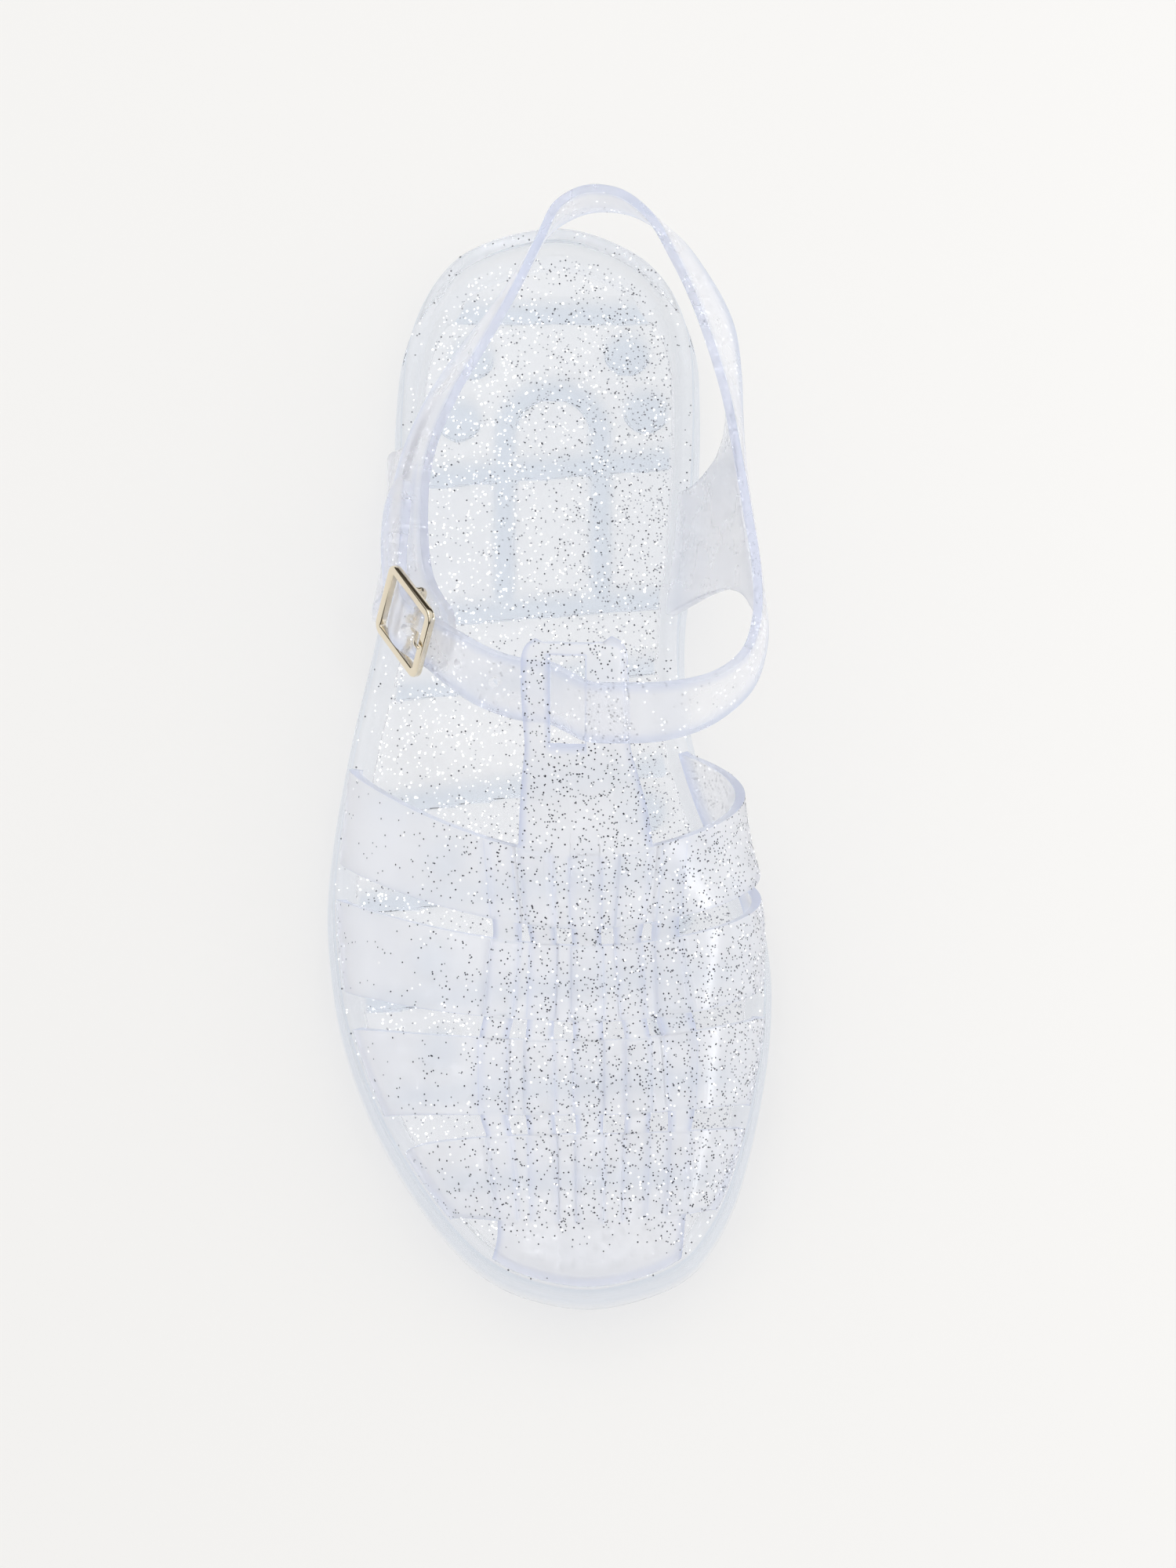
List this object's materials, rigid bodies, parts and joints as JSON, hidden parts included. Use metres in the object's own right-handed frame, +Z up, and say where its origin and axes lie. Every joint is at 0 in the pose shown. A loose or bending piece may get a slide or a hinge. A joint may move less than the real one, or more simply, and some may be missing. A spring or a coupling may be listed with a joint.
{
  "type": "jelly sandal",
  "caption": "Clear glitter PVC fisherman sandal with a woven cage over the toes, a T-strap, an ankle strap and a small square gold buckle.",
  "frame": {"origin": "middle of the bounding box's underside, on the floor the shoe stands on", "axes": "+Y towards the heel along the shoe's length, +X towards the medial side, +Z up"},
  "size_m": [0.1008, 0.2596, 0.0945],
  "materials": {
    "clear_pvc": "glossy clear PVC with a faint ice-blue tint and silver glitter through it",
    "pale_gold": "polished pale gold plating"
  },
  "bodies": {
    "root": {"outsole": "clear_pvc", "upper": "clear_pvc", "ankle_strap": "clear_pvc", "buckle_frame": "pale_gold", "buckle_prong": "pale_gold"}
  },
  "joints": []
}
